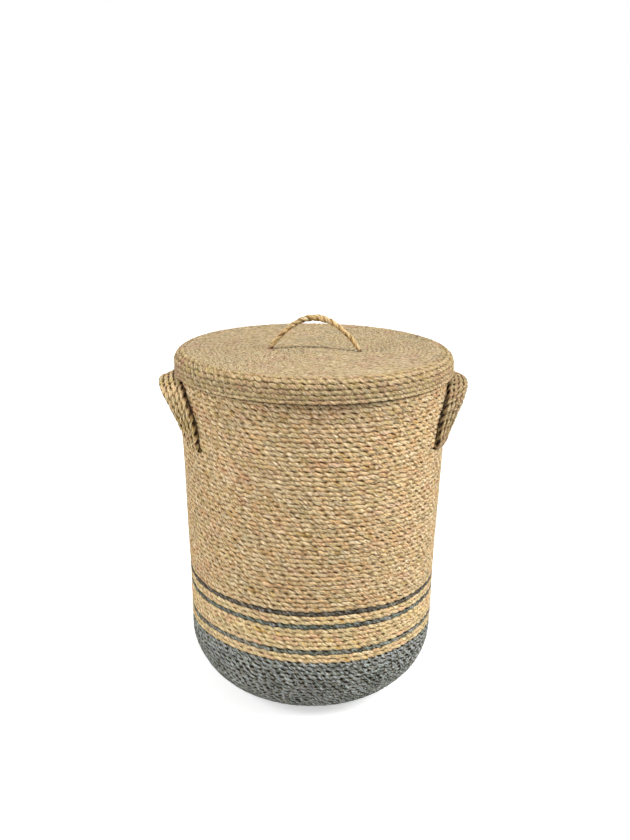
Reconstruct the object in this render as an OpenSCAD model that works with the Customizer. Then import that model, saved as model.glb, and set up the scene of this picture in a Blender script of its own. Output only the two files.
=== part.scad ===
// Tall round laundry hamper coiled from twisted seagrass cord, with a lift-off cap lid,
// two carrying handles of four cords each and a rope loop on the lid.
// Millimetres, +Z up, origin at the centre of the floor that the hamper stands on.

/* [Hamper body] */
// Height of the body from the floor to its rim
body_h = 521.4; // [420:1:640]
// Outside diameter of the wall where the taper ends, just under the lid
body_top_d = 398.4; // [340:1:460]
// Outside diameter of the wall's taper carried down to the floor
body_foot_d = 362.4; // [320:1:400]
// Radius of the rounded heel between the floor and the wall
heel_r = 101; // [60:1:120]
// Rows below the rim that draw in so that the lid slips over them
neck_rows = 7; // [5:1:9]
// Lean of those rows towards the axis, in degrees
neck_lean = 6; // [4:0.5:8]

/* [Cord] */
// Thickness of the twisted cord that is coiled into rows
cord_d = 7.4; // [7.2:0.1:8]
// Distance from one row of cord to the next
row_pitch = 6.7; // [6.2:0.05:6.9]

/* [Colour bands] */
// Height of the grey foot of the body
grey_h = 112; // [106:1:160]
// Natural rows between the grey foot and the lowest stripe
low_gap_rows = 2; // [1:1:4]
// Natural rows between the lowest and the middle stripe
mid_gap_rows = 5; // [2:1:8]
// Natural rows between the middle and the top stripe
high_gap_rows = 2; // [1:1:4]
// Grey rows in each stripe
stripe_rows = 1; // [1:1:3]

/* [Lid] */
// Gap between the lid's underside and the rim
lid_gap = 1; // [0.8:0.1:2]
// Gap all round between the neck and the inside of the lid's skirt
lid_fit = 1.2; // [1:0.1:2.5]
// Height of the lid from its top to the lower edge of its skirt
lid_h = 34.8; // [28:0.1:40]
// Outside radius of the lid's rounded shoulder
lid_shoulder_r = 16.4; // [15:0.1:20]

/* [Side handles] */
// Depth below the rim at which the handle cords pass through the wall
handle_depth = 118.4; // [105:0.1:160]
// Gap between the lid's lower edge and the top of the handle
handle_gap = 1; // [0.8:0.1:10]
// Distance between the outermost legs of one handle
handle_span = 204; // [180:1:220]
// Distance from the wall to the nearest cord at the top of the handle
handle_reach = 4.3; // [3.9:0.1:20]
// Thickness of one handle cord
handle_cord_d = 6.6; // [5:0.1:6.8]
// Cords side by side in one handle
handle_cords = 4; // [4]
// Sideways distance between two legs where they pass through the wall
leg_pitch = 7.2; // [7:0.1:8]
// Sideways distance between two cords at the top of the handle
top_pitch = 6.8; // [6.4:0.1:7.4]
// Drop from each cord to the next one outwards at the top of the handle
top_drop = 3; // [2.6:0.1:5]
// Length of the cord ends that lie against the inside of the wall
tail_length = 34; // [20:1:50]
// Radius of a cord's bend where it turns into the wall
bend_r = 4; // [3.6:0.1:5]
// Free space left around a handle cord
cord_play = 0.4; // [0.3:0.05:0.8]

/* [Lid loop] */
// Thickness of the rope loop on the lid
loop_d = 7; // [5:0.1:7.6]
// Distance between the two feet of the loop
loop_span = 126; // [100:1:150]
// Height of the loop's middle line above its feet
loop_h = 42.5; // [35:0.5:60]
// Distance from the middle of the lid to the loop, towards the front
loop_forward = 15; // [0:1:30]
// Turn of the loop, and of the lid with it, about the upright axis in degrees
loop_turn = -10.5; // [-30:0.5:30]
// Free space between the loop's feet and the lid
loop_play = 0.4; // [0.3:0.05:0.8]
// Thickness of the knots under the lid
knot_d = 12; // [11:0.5:14]

/* [Hidden] */
$fn = 96;
straw = "#c9ac7c";
slate = "#5d666a";
pale_straw = "#d8bd8c";
TUBE_SIDES = 8;
ARCH_STEPS = 18;
STEM_GAP = 0.15;      // free space between a knot's stem and its hole

// Where one bead of cord is drawn: its valley, then both edges of its worn crest
BEAD_STEPS = [0, 0.28, 0.72];

half_cord = cord_d / 2;

// A coil's middle line is a flat disc, a rounded corner, a straight side and a drawn-in
// end. All four stretches are held in one list: [flat, corner radius, corner angle,
// length of the side, turn at its end].
taper = atan((body_top_d - body_foot_d) / 2 / (body_h - neck_rows * row_pitch));
foot_r = body_foot_d / 2 + heel_r * tan(taper) - heel_r / cos(taper);
heel_top = heel_r * (1 - sin(taper));
neck_length = neck_rows * row_pitch;
side_length = (body_h - heel_top - half_cord * sin(taper) - neck_length * cos(neck_lean)) / cos(taper);
BODY_PATH = [foot_r, heel_r - half_cord, 90 - taper, side_length, taper + neck_lean];

lid_top = body_h + lid_gap + cord_d;
lid_bottom = lid_top - lid_h;
neck_start = body_h - neck_length * cos(neck_lean);
lid_r = wall_r(neck_start) - (lid_bottom - neck_start) * tan(neck_lean) + lid_fit + cord_d;
LID_PATH = [lid_r - lid_shoulder_r, lid_shoulder_r - half_cord, 90, lid_h - lid_shoulder_r, 0];

body_length = foot_r + arc_length(BODY_PATH) + side_length + neck_length;
body_rows = round(body_length / row_pitch);
body_pitch = body_length / body_rows;
lid_length = LID_PATH[0] + arc_length(LID_PATH) + LID_PATH[3];
lid_rows = round(lid_length / row_pitch);
lid_pitch = lid_length / lid_rows;

// Row numbers, counted from the centre of the floor, at which each band begins
floor_end = floor(foot_r / body_pitch);
grey_end = row_at(grey_h);
stripe_low_start = grey_end + low_gap_rows;
stripe_mid_start = stripe_low_start + stripe_rows + mid_gap_rows;
stripe_high_start = stripe_mid_start + stripe_rows + high_gap_rows;
stripes_end = stripe_high_start + stripe_rows;
slot_row = row_at(body_h - handle_depth);
handle_band_start = slot_row - 3;
handle_band_end = slot_row + 3;
wall_split = round((stripes_end + handle_band_start) / 2);
neck_start_row = body_rows - neck_rows;
rim_start = body_rows - 1;

// Row numbers of the lid, counted from its centre
shoulder_start = floor(LID_PATH[0] / lid_pitch);
skirt_start = ceil((LID_PATH[0] + arc_length(LID_PATH)) / lid_pitch);
edge_start = lid_rows - 1;

// The slit that one handle leg's four cords pass through
slot_z = side_z((slot_row + 0.5) * body_pitch);
hole_d = handle_cord_d + 2 * cord_play;
first_leg_y = handle_span / 2;
last_leg_y = first_leg_y - (handle_cords - 1) * leg_pitch;
slot_r = wall_r(slot_z);
slot_turn = (asin(first_leg_y / slot_r) + asin(last_leg_y / slot_r)) / 2;
slot_width = slot_r * (asin(first_leg_y / slot_r) - asin(last_leg_y / slot_r)) * PI / 180 + 2 * cord_play;

// Rise of a handle from its slits to its top, which stays under the lid
handle_h = lid_bottom - handle_gap - handle_cord_d / 2 - slot_z;

loop_foot_z = lid_top + loop_d / 2 + loop_play;

function unit(v) = v / norm(v);
function arc_length(path) = path[1] * path[2] * PI / 180;

// Outside radius of the tapered wall at height z
function wall_r(z) = body_foot_d / 2 + z * tan(taper);
// Height of the middle of a wall row, and the row found at a height of the wall
function side_z(s) = point_at(BODY_PATH, s)[1];
function row_at(z) =
    round((foot_r + arc_length(BODY_PATH) + (z - heel_top) / cos(taper)) / row_pitch - 0.5);

// Direction of a path at length s, and the point there as [radius, height above its face]
function direction_at(path, s) =
    let (corner = s - path[0], side = corner - arc_length(path))
    side > path[3] ? path[2] + path[4]
    : side > 0 ? path[2]
    : corner > 0 ? path[2] * corner / arc_length(path)
    : 0;
function along(from, length, angle) = from + length * [cos(angle), sin(angle)];
function corner_point(path, angle) =
    [path[0], half_cord + path[1]] + path[1] * [sin(angle), -cos(angle)];
function point_at(path, s) =
    let (side = s - path[0] - arc_length(path))
    side > path[3]
        ? along(along(corner_point(path, path[2]), path[3], path[2]), side - path[3], path[2] + path[4])
    : side > 0 ? along(corner_point(path, path[2]), side, path[2])
    : s > path[0] ? corner_point(path, direction_at(path, s))
    : [s, half_cord];

// Half thickness of a row: full across the worn crest, thin in the valley between rows
function half_thickness(step, pitch) =
    step == 0 ? sqrt(pow(half_cord, 2) - pow(pitch / 2, 2)) : half_cord;

// One face of rows first to last - 1, on the outer (+1) or inner (-1) side of the path
function bead_face(path, pitch, first, last, face) = [
    for (row = [first:last - 1], step = BEAD_STEPS) bead_point(path, pitch, row + step, step, face),
    bead_point(path, pitch, last, 0, face)
];
function bead_point(path, pitch, place, step, face) =
    let (s = place * pitch, angle = direction_at(path, s))
    point_at(path, s) + face * half_thickness(step, pitch) * [sin(angle), -cos(angle)];
function reversed(list) = [for (i = [len(list) - 1:-1:0]) list[i]];

// Rows first to last - 1 of a coil, each a bead that rests on the one before it
module coil_rows(path, pitch, first, last) {
    rotate_extrude()
        polygon(concat(
            bead_face(path, pitch, first, last, 1),
            reversed(bead_face(path, pitch, first, last, -1))));
}

module body_rows(first, last, dye) {
    color(dye) coil_rows(BODY_PATH, body_pitch, first, last);
}

module lid_coil(first, last) {
    color(straw) translate([0, 0, lid_top]) mirror([0, 0, 1])
        coil_rows(LID_PATH, lid_pitch, first, last);
}

// A tube along points, with a radius for each point and its faces carried along
function carried(tangents, v, i = 0) =
    i >= len(tangents) ? []
    : let (u = unit(v - (v * tangents[i]) * tangents[i])) concat([u], carried(tangents, u, i + 1));
module tube(points, radii, start) {
    last = len(points) - 1;
    tangents = [for (i = [0:last]) unit(points[min(i + 1, last)] - points[max(i - 1, 0)])];
    sides = carried(tangents, start);
    rings = [for (i = [0:last], k = [0:TUBE_SIDES - 1])
        let (a = 360 * k / TUBE_SIDES)
        points[i] + radii[i] * (cos(a) * sides[i] + sin(a) * cross(tangents[i], sides[i]))];
    walls = [for (i = [0:last - 1], k = [0:TUBE_SIDES - 1])
        let (a = i * TUBE_SIDES + k, b = i * TUBE_SIDES + (k + 1) % TUBE_SIDES)
        each [[a, a + TUBE_SIDES, b], [b, a + TUBE_SIDES, b + TUBE_SIDES]]];
    near_end = [for (k = [0:TUBE_SIDES - 1]) k];
    far_end = [for (k = [TUBE_SIDES - 1:-1:0]) last * TUBE_SIDES + k];
    polyhedron(rings, concat(walls, [near_end, far_end]));
}

// The slit for one leg of a handle, at an angle from the left-hand direction
module slit(angle) {
    rotate([0, 0, 180 + angle])
        translate([slot_r - cord_d * 1.5, 0, slot_z])
            rotate([90, 0, 90]) {
                for (end = [-1, 1])
                    translate([end * slot_width / 2, 0, 0]) cylinder(d = hole_d, h = cord_d * 2);
                translate([-slot_width / 2, -hole_d / 2, 0]) cube([slot_width, hole_d, cord_d * 2]);
            }
}

module handle_band() {
    color(straw) difference() {
        coil_rows(BODY_PATH, body_pitch, handle_band_start, handle_band_end);
        for (turn = [0, 180], end = [-1, 1])
            slit(turn + end * slot_turn);
    }
}

// Middle line of one handle cord of the left handle, from the end of its front tail,
// through the wall, up to the top of the arch. i counts the cords outwards from the wall.
at_wall = handle_cord_d / 2 + cord_play;
function leg_y(i) = first_leg_y - i * leg_pitch;
function leg_angle(i) = asin(leg_y(i) / slot_r);
function at_leg(i, radius, z) = [-radius * cos(leg_angle(i)), -radius * sin(leg_angle(i)), z];
function handle_leg(i) =
    let (inner = wall_r(slot_z - bend_r) - (cord_d + at_wall) / cos(taper),
         outer = wall_r(slot_z + bend_r) + at_wall)
    concat(
        [for (down = [tail_length:-tail_length / 3:bend_r + 1])
            at_leg(i, inner - (down - bend_r) * tan(taper), slot_z - down)],
        [for (a = [0:30:90]) at_leg(i, inner + bend_r * (1 - cos(a)), slot_z - bend_r * (1 - sin(a)))],
        [for (a = [0:30:90]) at_leg(i, outer - bend_r * (1 - sin(a)), slot_z + bend_r * (1 - cos(a)))]);
// The arch lies along the round wall, and each cord further out leans away from it more
function handle_arch(i) =
    let (foot = at_leg(i, wall_r(slot_z + bend_r) + at_wall, slot_z + bend_r),
         top_gap = handle_reach + i * top_pitch,
         rise = handle_h - bend_r - i * top_drop)
    [for (k = [1:ARCH_STEPS - 1])
        let (a = 180 * k / ARCH_STEPS,
             up = pow(sin(a), 0.77),
             across = sign(cos(a)) * pow(abs(cos(a)), 0.77),
             y = foot.y * across,
             z = foot.z + rise * up,
             radius = wall_r(z) + at_wall + (top_gap - at_wall) * up)
        [-sqrt(radius * radius - y * y), y, z]];
function front_to_back(points) = [for (p = reversed(points)) [p.x, -p.y, p.z]];

module left_handle_cord(i) {
    leg = handle_leg(i);
    points = concat(leg, handle_arch(i), front_to_back(leg));
    color(straw) tube(points, [for (p = points) handle_cord_d / 2], [0, 1, 0]);
}

// The lid's flat coil, with two holes for the ends of the rope loop
module at_loop_feet() {
    for (end = [-1, 1])
        translate([0, -loop_forward, 0]) rotate([0, 0, loop_turn])
            translate([end * loop_span / 2, 0, 0]) children();
}
module lid_disc_coil() {
    difference() {
        lid_coil(0, shoulder_start);
        at_loop_feet()
            translate([0, 0, lid_top - cord_d * 1.5]) cylinder(d = loop_d + 2 * STEM_GAP, h = cord_d * 2);
    }
}

// Each end of the rope fills its hole and is knotted under the lid
module lid_loop_knots() {
    color(pale_straw) at_loop_feet() {
        translate([0, 0, lid_top - cord_d - knot_d / 2]) cylinder(d = loop_d, h = cord_d + knot_d / 2);
        translate([0, 0, lid_top - cord_d - knot_d / 2 - loop_play]) sphere(d = knot_d);
    }
}

// The rope loop: a bow from foot to foot, with rounded ends that turn on the lid
LOOP_STEPS = 16;
END_STEPS = [0.25, 0.7, 0.95];
function bow(x) = loop_h * (1 - pow(2 * x / loop_span, 2));
module lid_loop_rope() {
    r = loop_d / 2;
    bow_points = [for (k = [0:LOOP_STEPS])
        let (x = loop_span * (k / LOOP_STEPS - 0.5)) [x, 0, bow(x)]];
    slope = unit(bow_points[1] - bow_points[0]);
    left_end = [for (w = END_STEPS) bow_points[0] - slope * r * sqrt(1 - w * w)];
    right_end = [for (p = reversed(left_end)) [-p.x, p.y, p.z]];
    radii = concat(r * END_STEPS, [for (p = bow_points) r], r * reversed(END_STEPS));
    color(pale_straw) translate([0, -loop_forward, loop_foot_z]) rotate([0, 0, loop_turn])
        tube(concat(left_end, bow_points, right_end), radii, [0, 1, 0]);
}

module floor_coil() { body_rows(0, floor_end, slate); }
module heel_coil() { body_rows(floor_end, grey_end, slate); }
module natural_band_low() { body_rows(grey_end, stripe_low_start, straw); }
module stripe_low() { body_rows(stripe_low_start, stripe_low_start + stripe_rows, slate); }
module natural_band_mid() { body_rows(stripe_low_start + stripe_rows, stripe_mid_start, straw); }
module stripe_mid() { body_rows(stripe_mid_start, stripe_mid_start + stripe_rows, slate); }
module natural_band_high() { body_rows(stripe_mid_start + stripe_rows, stripe_high_start, straw); }
module stripe_high() { body_rows(stripe_high_start, stripes_end, slate); }
module wall_coil_lower() { body_rows(stripes_end, wall_split, straw); }
module wall_coil_middle() { body_rows(wall_split, handle_band_start, straw); }
module wall_coil_upper() { body_rows(handle_band_end, neck_start_row, straw); }
module neck_coil() { body_rows(neck_start_row, rim_start, straw); }
module rim_row() { body_rows(rim_start, body_rows, straw); }
module lid_shoulder_coil() { lid_coil(shoulder_start, skirt_start); }
module lid_skirt_coil() { lid_coil(skirt_start, edge_start); }
module lid_edge_row() { lid_coil(edge_start, lid_rows); }

floor_coil();
heel_coil();
natural_band_low();
stripe_low();
natural_band_mid();
stripe_mid();
natural_band_high();
stripe_high();
wall_coil_lower();
wall_coil_middle();
handle_band();
wall_coil_upper();
neck_coil();
rim_row();
for (i = [1:handle_cords]) {
    left_handle_cord(i - 1);
    mirror([1, 0, 0]) left_handle_cord(i - 1);
}
lid_disc_coil();
lid_shoulder_coil();
lid_skirt_coil();
lid_edge_row();
lid_loop_knots();
lid_loop_rope();
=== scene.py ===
# %% [markdown]
# # A coiled seagrass laundry hamper
# The real hamper is one long craft: two plies of seagrass are twisted into a cord, the cord
# is wound round and round, and each row is sewn to the row below it. The lid, the side
# handles and the loop on the lid are made from the same kind of cord.
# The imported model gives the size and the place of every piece. Each of its nodes is a plain
# disc, ring, tube or lump, and each gets a real twisted cord here, laid where that is.
# All lengths are in metres.

# %% Load the frame
import math

import bpy
import numpy as np
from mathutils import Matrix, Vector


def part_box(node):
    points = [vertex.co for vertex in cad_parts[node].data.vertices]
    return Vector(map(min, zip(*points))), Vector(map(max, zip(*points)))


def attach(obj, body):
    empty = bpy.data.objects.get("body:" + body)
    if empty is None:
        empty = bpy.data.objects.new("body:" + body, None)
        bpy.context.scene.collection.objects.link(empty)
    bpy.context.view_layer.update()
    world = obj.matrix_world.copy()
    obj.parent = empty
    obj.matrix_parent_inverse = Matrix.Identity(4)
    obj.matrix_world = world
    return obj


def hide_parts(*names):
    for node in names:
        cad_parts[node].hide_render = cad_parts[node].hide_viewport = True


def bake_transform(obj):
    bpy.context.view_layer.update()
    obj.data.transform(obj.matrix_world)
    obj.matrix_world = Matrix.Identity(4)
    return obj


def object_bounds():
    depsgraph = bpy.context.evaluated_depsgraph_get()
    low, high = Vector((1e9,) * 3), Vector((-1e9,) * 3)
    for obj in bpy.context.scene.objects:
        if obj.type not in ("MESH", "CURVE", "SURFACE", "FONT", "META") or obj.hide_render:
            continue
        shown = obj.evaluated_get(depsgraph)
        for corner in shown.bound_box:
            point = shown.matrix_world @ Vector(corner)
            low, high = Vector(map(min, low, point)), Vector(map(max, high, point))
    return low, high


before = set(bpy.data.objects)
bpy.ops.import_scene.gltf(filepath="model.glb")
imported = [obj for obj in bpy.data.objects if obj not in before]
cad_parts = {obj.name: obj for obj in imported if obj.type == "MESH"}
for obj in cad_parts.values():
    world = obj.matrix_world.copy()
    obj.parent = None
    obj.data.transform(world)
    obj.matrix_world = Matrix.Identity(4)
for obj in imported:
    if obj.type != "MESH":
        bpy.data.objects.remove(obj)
cad_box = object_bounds()
bpy.ops.object.select_all(action="DESELECT")

# %% [markdown]
# ## Camera
# A hamper is looked at from a standing height, a little from above, so that the lid shows as
# a flat oval. The camera stands in front of the hamper, looks down by 16 degrees and leans
# a touch to one side, as a camera held in the hand does.

# %% Camera
CAMERA_AWAY = 1.486
CAMERA_HEIGHT = 0.841
CAMERA_ASIDE = 0.0025
CAMERA_DOWN = math.radians(15.9)
CAMERA_LEAN = math.radians(0.73)
CAMERA_TURN = math.radians(-4.5)
CAMERA_LENS = 43.99
bpy.ops.object.camera_add()
camera = bpy.context.object
camera.name = "camera"
round_hamper = Matrix.Rotation(CAMERA_TURN, 4, "Z")
camera.matrix_world = (
    round_hamper
    @ Matrix.Translation((CAMERA_ASIDE, -CAMERA_AWAY, CAMERA_HEIGHT))
    @ Matrix.Rotation(math.pi / 2 - CAMERA_DOWN, 4, "X")
    @ Matrix.Rotation(CAMERA_LEAN, 4, "Z")
)
camera.data.lens = CAMERA_LENS
bpy.context.scene.camera = camera
print("camera", tuple(round(c, 3) for c in camera.location), "lens", round(camera.data.lens, 2))

# %% [markdown]
# ## Floor, backdrop and light
# The floor is one large pale plane. It looks white to the camera but sends back less light
# than white paper would, so the foot of the hamper keeps its own colour. Two large soft
# lamps stand left and right of the camera, the right one stronger. A smaller lamp hangs
# above, so that the loop draws its thin shadow on the lid.

# %% Colours as they are read from a swatch card
def swatch(code):
    """Linear colour of a #rrggbb swatch."""
    channels = [int(code[i : i + 2], 16) / 255 for i in (1, 3, 5)]
    return [c / 12.92 if c <= 0.04045 else ((c + 0.055) / 1.055) ** 2.4 for c in channels] + [1]


def feed(tree, socket, value):
    """Gives an input its value, or links another node's output to it."""
    if isinstance(value, bpy.types.NodeSocket):
        tree.links.new(value, socket)
    else:
        socket.default_value = value


def add_node(tree, kind, inputs=None, **settings):
    """A shader node. Its inputs are given by name."""
    made = tree.nodes.new("ShaderNode" + kind)
    for name, value in settings.items():
        setattr(made, name, value)
    for name, value in (inputs or {}).items():
        feed(tree, made.inputs[name], value)
    return made


def map_range(tree, value, before=(0, 1), after=(0, 1)):
    """Turns one range of values into another. Either end may be another node's output."""
    names = ("Value", "From Min", "From Max", "To Min", "To Max")
    return add_node(tree, "MapRange", dict(zip(names, (value, *before, *after)))).outputs["Result"]


# %% Floor
FLOOR_SIZE = 60
FLOOR_GREY = 0.7
# how far from the hamper's axis the floor starts to glow more, and where that ends
GLOW_PLACES = (0.4, 2.4)
GLOW = (0.56, 0.9)
bpy.ops.mesh.primitive_plane_add(size=FLOOR_SIZE)
floor = bpy.context.object
floor.name = "studio_floor"
paper = bpy.data.materials.new("studio_paper")
paper.use_nodes = True
rays = add_node(paper.node_tree, "LightPath")
floor_place = add_node(paper.node_tree, "TexCoord").outputs["Object"]
away = add_node(paper.node_tree, "VectorMath", {"Vector": floor_place}, operation="LENGTH")
white_out = map_range(paper.node_tree, away.outputs["Value"], GLOW_PLACES, GLOW)
glow = map_range(paper.node_tree, rays.outputs["Is Camera Ray"], after=(0, white_out))
paper_shader = paper.node_tree.nodes["Principled BSDF"]
paper_shader.inputs["Base Color"].default_value = (FLOOR_GREY, FLOOR_GREY, FLOOR_GREY, 1)
paper_shader.inputs["Roughness"].default_value = 0.9
paper_shader.inputs["Emission Color"].default_value = (1, 1, 1, 1)
paper.node_tree.links.new(glow, paper_shader.inputs["Emission Strength"])
floor.data.materials.append(paper)
print("floor", floor.name)

# %% World and lamps
# strength of the sky as a light, and as it looks to the camera
SKY = (0.385, 1.0)
world = bpy.data.worlds.new("studio")
world.use_nodes = True
bpy.context.scene.world = world
sky = world.node_tree
sky_rays = add_node(sky, "LightPath")
seen_sky = map_range(sky, sky_rays.outputs["Is Camera Ray"], after=SKY)
sky.nodes["Background"].inputs["Color"].default_value = (1, 1, 1, 1)
sky.links.new(seen_sky, sky.nodes["Background"].inputs["Strength"])


def lamp(name, place, aim, size, power):
    """A square soft lamp that looks at a point."""
    bpy.ops.object.light_add(type="AREA", location=place)
    light = bpy.context.object
    light.name = name
    light.data.size = size
    light.data.energy = power
    away = Vector(place) - Vector(aim)
    light.rotation_euler = away.to_track_quat("Z", "Y").to_euler()
    return light


HAMPER_MIDDLE = (cad_box[0] + cad_box[1]) / 2
# name, place, point that it looks at, width and power in watts
LAMPS = [
    lamp("lamp_right", (2.0, -0.75, 1.5), HAMPER_MIDDLE, 1.0, 61),
    lamp("lamp_left", (-2.0, -0.7, 1.4), HAMPER_MIDDLE, 1.0, 42),
    lamp("lamp_above", (0.08, -0.6, 2.2), HAMPER_MIDDLE, 0.12, 30),
]
bpy.context.scene.view_settings.view_transform = "Standard"
print("lamps", [light.name for light in LAMPS])

# %% [markdown]
# ## The path of the rows
# Cut the hamper in half and each row of cord shows as a round dot. The dots lie on one line:
# a flat floor, a rounded heel, a side that widens slowly, and a neck that draws in under the
# lid. The lid has the same kind of line upside down. One small rule gives the point and the
# direction at any length along such a line, so every row knows its place.

# %% Sizes that the coil is wound to
CORD_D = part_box("lid_disc_coil")[1].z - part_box("lid_disc_coil")[0].z
HALF_CORD = CORD_D / 2
BODY_H = 0.5214
BODY_TOP_R = 0.1992
BODY_FOOT_R = 0.1812
HEEL_R = 0.101
NECK_ROWS = 7
NECK_LEAN = math.radians(6)
ROW_PITCH = 0.0067
LID_SHOULDER_R = 0.0164

neck_length = NECK_ROWS * ROW_PITCH
taper = math.atan((BODY_TOP_R - BODY_FOOT_R) / (BODY_H - neck_length))
foot_r = BODY_FOOT_R + HEEL_R * math.tan(taper) - HEEL_R / math.cos(taper)
heel_top = HEEL_R * (1 - math.sin(taper))
side_length = (
    BODY_H - heel_top - HALF_CORD * math.sin(taper) - neck_length * math.cos(NECK_LEAN)
) / math.cos(taper)
lid_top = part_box("lid_disc_coil")[1].z
lid_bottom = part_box("lid_edge_row")[0].z
lid_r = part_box("lid_edge_row")[1].x

# flat length, corner radius, corner angle, side length, turn at the end
BODY_PATH = (foot_r, HEEL_R - HALF_CORD, math.pi / 2 - taper, side_length, taper + NECK_LEAN)
LID_PATH = (
    lid_r - LID_SHOULDER_R,
    LID_SHOULDER_R - HALF_CORD,
    math.pi / 2,
    lid_top - lid_bottom - LID_SHOULDER_R,
    0,
)


def direction_at(path, s):
    """Direction of a path at length s, in radians: 0 is outwards and flat, a quarter turn is up."""
    flat, corner_r, corner_angle, side, end_turn = path
    round_part = s - flat
    if round_part <= 0:
        return 0
    if round_part <= corner_r * corner_angle:
        return round_part / corner_r
    if round_part <= corner_r * corner_angle + side:
        return corner_angle
    return corner_angle + end_turn


def point_at(path, s):
    """(radius, height) of the middle of the cord at length s of a path."""
    flat, corner_r, corner_angle, side, end_turn = path
    if s <= flat:
        return s, HALF_CORD
    angle = min(direction_at(path, s), corner_angle)
    radius = flat + corner_r * math.sin(angle)
    height = HALF_CORD + corner_r * (1 - math.cos(angle))
    up_side = min(max(s - flat - corner_r * corner_angle, 0), side)
    up_end = max(s - flat - corner_r * corner_angle - side, 0)
    last = corner_angle + end_turn
    return (
        radius + up_side * math.cos(corner_angle) + up_end * math.cos(last),
        height + up_side * math.sin(corner_angle) + up_end * math.sin(last),
    )


def path_length(path):
    return path[0] + path[1] * path[2] + path[3]


body_rows = round((path_length(BODY_PATH) + neck_length) / ROW_PITCH)
body_pitch = (path_length(BODY_PATH) + neck_length) / body_rows
lid_rows = round(path_length(LID_PATH) / ROW_PITCH)
lid_pitch = path_length(LID_PATH) / lid_rows
print("body rows", body_rows, "lid rows", lid_rows)

# %% [markdown]
# ## Hand-made unevenness
# No row of a real basket is a true circle. Slow ripples move the rows up and down and in and
# out by about a millimetre, the body's rows also slope a little to one side, and they step
# aside where the handle cords pass through the wall. All of this moves neighbouring rows
# together, so that the wall stays closed.

# %% How the rows wander
# a ripple: its height, waves in one round, change along the path and start
BODY_BULGES = ((0.0008, 2, 14, 0.7), (0.0005, 5, -31, 0))
BODY_WAVES = ((0.0008, 3, 25, 0), (0.0005, 7, -18, 2))
LID_WAVES = ((0.0005, 3, 60, 0), (0.0003, 5, -90, 0))
SLOPE = 0.010
# rows start to wander at the first height and stop at the second
WALL_CLEAR_Z = (0.03, 0.44)
FADE = 0.035
# how far the lid hangs down all over, and how much more near its middle
LID_SAG = 0.0004
LID_MIDDLE_SAG = 0.0012
# start and length of each change, as radii of the lid
LID_STILL_MIDDLE = (0.02, 0.05)
LID_STILL_EDGE = (0.17, 0.02)
LID_SAG_ENDS = (0.05, 0.1)


def fade_in(value, start, length):
    """0 before start, 1 after start + length, smooth in between."""
    x = min(max((value - start) / length, 0), 1)
    return x * x * (3 - 2 * x)


def ripple(parts, angle, place):
    """Sum of the ripples at an angle round the coil and a place along its path."""
    heights = [
        size * math.sin(waves * angle + change * place + start) for size, waves, change, start in parts
    ]
    return sum(heights)


def wandering_body(radius, height, angle):
    """The place of a body row's middle, moved as a hand-wound row is."""
    free = fade_in(height, WALL_CLEAR_Z[0], FADE) * (1 - fade_in(height, WALL_CLEAR_Z[1], FADE))
    radius += ripple(BODY_BULGES, angle, height) * free
    x, y = radius * math.cos(angle), radius * math.sin(angle)
    return x, y, height + (ripple(BODY_WAVES, angle, height) - SLOPE * x) * free


def wandering_lid(radius, height, angle):
    """The place of a lid row's middle. The lid's path runs upside down from its top."""
    free = fade_in(radius, *LID_STILL_MIDDLE)
    sag = LID_MIDDLE_SAG * (1 - fade_in(radius, *LID_SAG_ENDS)) + LID_SAG
    lift = (ripple(LID_WAVES, angle, radius) - sag) * free * (1 - fade_in(radius, *LID_STILL_EDGE))
    return radius * math.cos(angle), radius * math.sin(angle), lid_top - height + lift


most_aside = sum(part[0] for part in BODY_BULGES)
most_up = sum(part[0] for part in BODY_WAVES) + SLOPE * BODY_TOP_R
print(f"body rows move in or out by at most {1000 * most_aside:.1f} mm")
print(f"and up or down by at most {1000 * most_up:.1f} mm")

# %% [markdown]
# ## Where the handle cords part the rows
# Each handle is four cords that pass through the wall between two rows. The rows above and
# below are pushed apart there and close again a few fingers further along.

# %% Place of the handles, from the same sizes as the frame
HANDLE_DEPTH = 0.1184
HANDLE_GAP = 0.001
HANDLE_SPAN = 0.204
HANDLE_REACH = 0.0043
HANDLE_CORD_D = 0.0066
HANDLE_CORDS = 4
LEG_PITCH = 0.0072
TOP_PITCH = 0.0068
TOP_DROP = 0.003
TAIL_LENGTH = 0.034
BEND_R = 0.004
CORD_PLAY = 0.0004

corner_end = foot_r + BODY_PATH[1] * BODY_PATH[2]
slot_row = round((corner_end + (BODY_H - HANDLE_DEPTH - heel_top) / math.cos(taper)) / ROW_PITCH - 0.5)
slot_s = (slot_row + 0.5) * body_pitch
slot_z = point_at(BODY_PATH, slot_s)[1]
AT_WALL = HANDLE_CORD_D / 2 + CORD_PLAY


def wall_radius(z):
    """Outer radius of the sloping wall at a height."""
    return BODY_FOOT_R + z * math.tan(taper)


slot_r = wall_radius(slot_z)
handle_h = lid_bottom - HANDLE_GAP - HANDLE_CORD_D / 2 - slot_z
leg_angles = [math.asin((HANDLE_SPAN / 2 - i * LEG_PITCH) / slot_r) for i in range(HANDLE_CORDS)]
slot_angle = (leg_angles[0] + leg_angles[-1]) / 2
slot_half_width = slot_r * (leg_angles[0] - leg_angles[-1]) / 2 + HANDLE_CORD_D / 2
print("handle cords pass the wall at z", round(slot_z, 4), "angle", round(math.degrees(slot_angle), 1))


# %% Rows step aside for the handle cords
PUSH = 0.0026
PUSH_DEPTH = 1.6
PUSH_RUN = 0.016


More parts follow.
